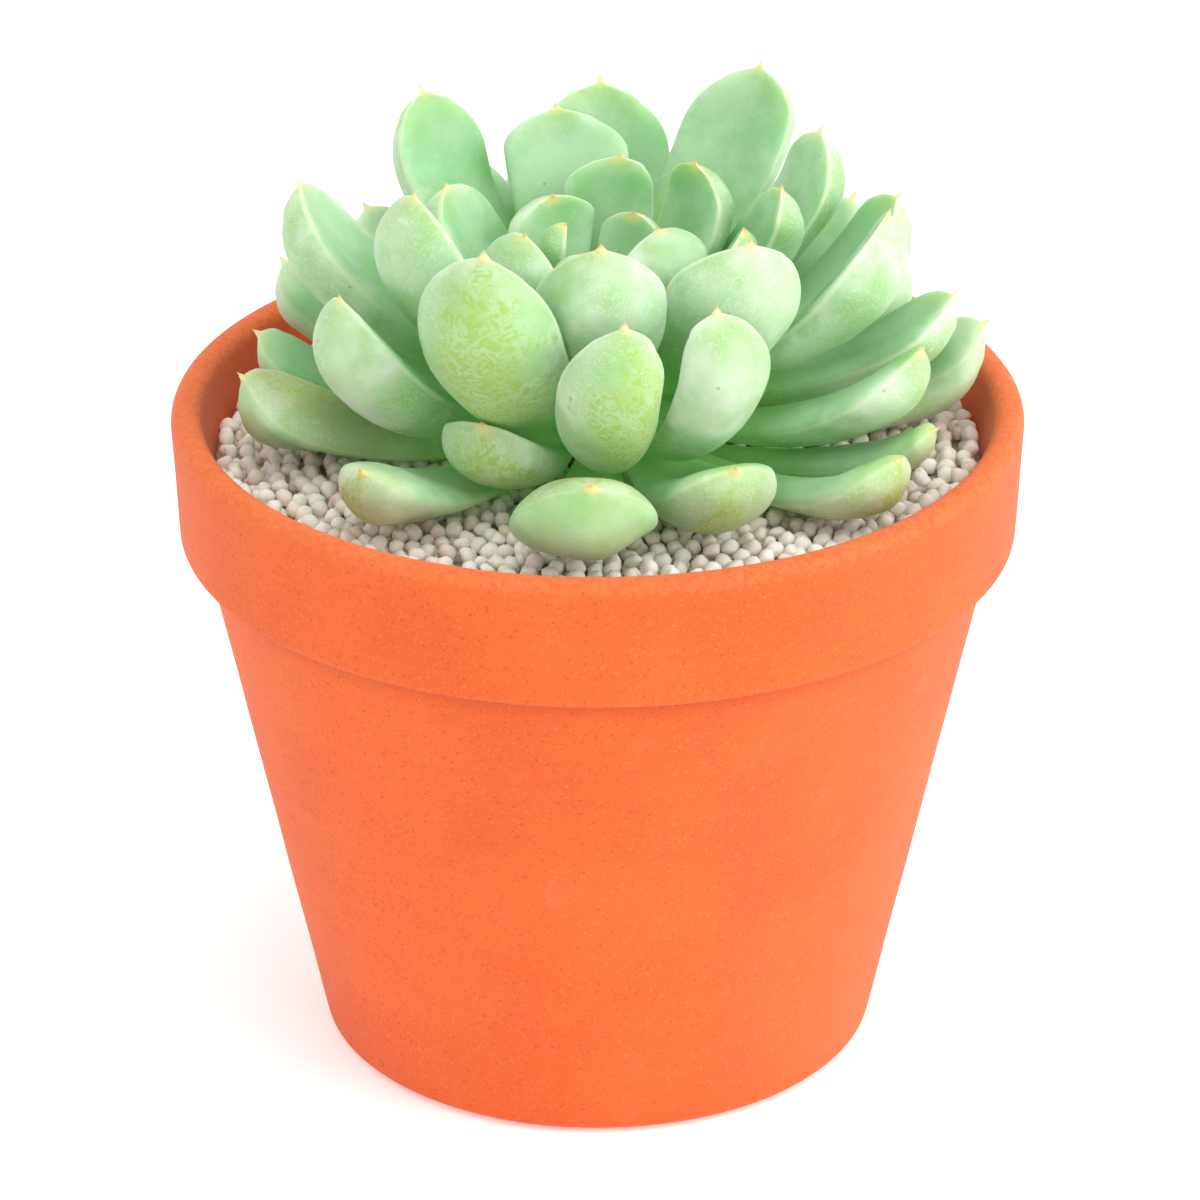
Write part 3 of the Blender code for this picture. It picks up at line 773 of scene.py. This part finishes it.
leaf_look = leaf_material()
faces = leaf_quads()
count = len(across)
rows = np.repeat(np.arange(len(lengths)), count)
along = np.append(lengths[rows], (0.0, 1.0))
sideways = np.append(np.tile(across, len(lengths)), (0.0, 0.0))
on_outer = np.append(np.tile(np.arange(count) >= INNER_COLUMNS, len(lengths)), (1, 1))
leaf_names = sorted(name for name in cad_nodes if name.startswith("leaf_"))
for order, name in enumerate(leaf_names):
    age = order / (len(leaf_names) - 1)
    points = leaf_surface(name, age)
    leaf = new_piece(name.replace("leaf_", "succulent_leaf_"), points, faces, leaf_look)
    mesh = leaf.data
    rim_share = np.append(margin_nearness(points[:-2].reshape(len(lengths), count, 3)), (0.0, 1.0))
    bare = np.zeros(len(along))
    for leaf_number, at_length, at_side, half_length, half_side, strength in RUBBED:
        if leaf_number == order + 1:
            away = np.hypot((along - at_length) / half_length, (sideways - at_side) / half_side)
            bare = np.maximum(bare, strength * np.clip(1.25 - 0.75 * away, 0, 1) * on_outer)
    from_tip = np.linalg.norm(points - points[-1], axis=1)
    at_tip = np.clip(1 - from_tip / TIP_REACH, 0, 1)
    store_values(mesh, "leaf_place", along, rim_share, on_outer)
    store_values(mesh, "leaf_tone", np.full(len(along), age), bare, at_tip)
    mesh.update()
    normals = [v.normal.copy() for v in mesh.vertices]
    for vert, normal, share in zip(mesh.vertices, normals, along):
        lump = noise.noise(vert.co / SKIN_LUMP_WIDTH + Vector((0, 0, order)))
        vert.co += normal * (lump * SKIN_LUMP * min(1.0, (1 - share) / SKIN_CALM))
    mesh.update()
    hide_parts(name)
    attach(leaf, "root")

# ---------------------------------------------------------------------------------------------
# Studio: a plain white floor under soft, even light, and a long lens looking down a little.
CAMERA_PITCH = 26
CAMERA_DISTANCE = 0.9
CAMERA_AIM = (0.0003, 0, 0.0593)
CAMERA_LENS = 206.5
FLOOR_HALF = 3.0
FLOOR_LEVEL = -0.2 * MM
FLOOR_GLOW = 0.30
SKY_STRENGTH = 0.96
LIGHTS_AIM = Vector((0, 0, 0.07))
LIGHTS = (
    # name, place, power in watts, size
    ("overhead", (0.05, -0.25, 1.1), 2.8, 0.5),
    ("key", (0.90, -0.40, 0.60), 7.5, 0.9),
)

floor_look, tree, shader, spots = new_look("studio_floor")
paper = ranged(tree, cloudy(tree, spots, 6, 2), 0.2, 0.8, 0.93, 0.97)
tree.links.new(paper, shader.inputs["Base Color"])
shader.inputs["Roughness"].default_value = 0.9
shader.inputs["Emission Color"].default_value = (1, 1, 1, 1)
shader.inputs["Emission Strength"].default_value = FLOOR_GLOW
ways = ((-1, -1), (1, -1), (1, 1), (-1, 1))
corners = [(FLOOR_HALF * x, FLOOR_HALF * y, FLOOR_LEVEL) for x, y in ways]
floor = new_piece("studio_floor", corners, [(0, 1, 2, 3)], floor_look)

world = bpy.data.worlds.new("studio")
bpy.context.scene.world = world
world.use_nodes = True
sky = world.node_tree.nodes["Background"]
sky.inputs["Color"].default_value = (1, 1, 1, 1)
sky.inputs["Strength"].default_value = SKY_STRENGTH
for name, place, power, size in LIGHTS:
    lamp = bpy.data.lights.new(name, "AREA")
    lamp.energy = power
    lamp.size = size
    light = bpy.data.objects.new(name, lamp)
    light.location = place
    light.rotation_euler = (LIGHTS_AIM - Vector(place)).to_track_quat("-Z", "Y").to_euler()
    bpy.context.scene.collection.objects.link(light)

camera = bpy.data.objects.new("camera", bpy.data.cameras.new("camera"))
camera.data.lens = CAMERA_LENS
camera.data.sensor_width = 36
pitch = math.radians(CAMERA_PITCH)
back = Vector((0, -math.cos(pitch), math.sin(pitch))) * CAMERA_DISTANCE
camera.location = Vector(CAMERA_AIM) + back
camera.rotation_euler = (math.pi / 2 - pitch, 0, 0)
bpy.context.scene.collection.objects.link(camera)
bpy.context.scene.camera = camera
bpy.context.scene.view_settings.view_transform = "Standard"
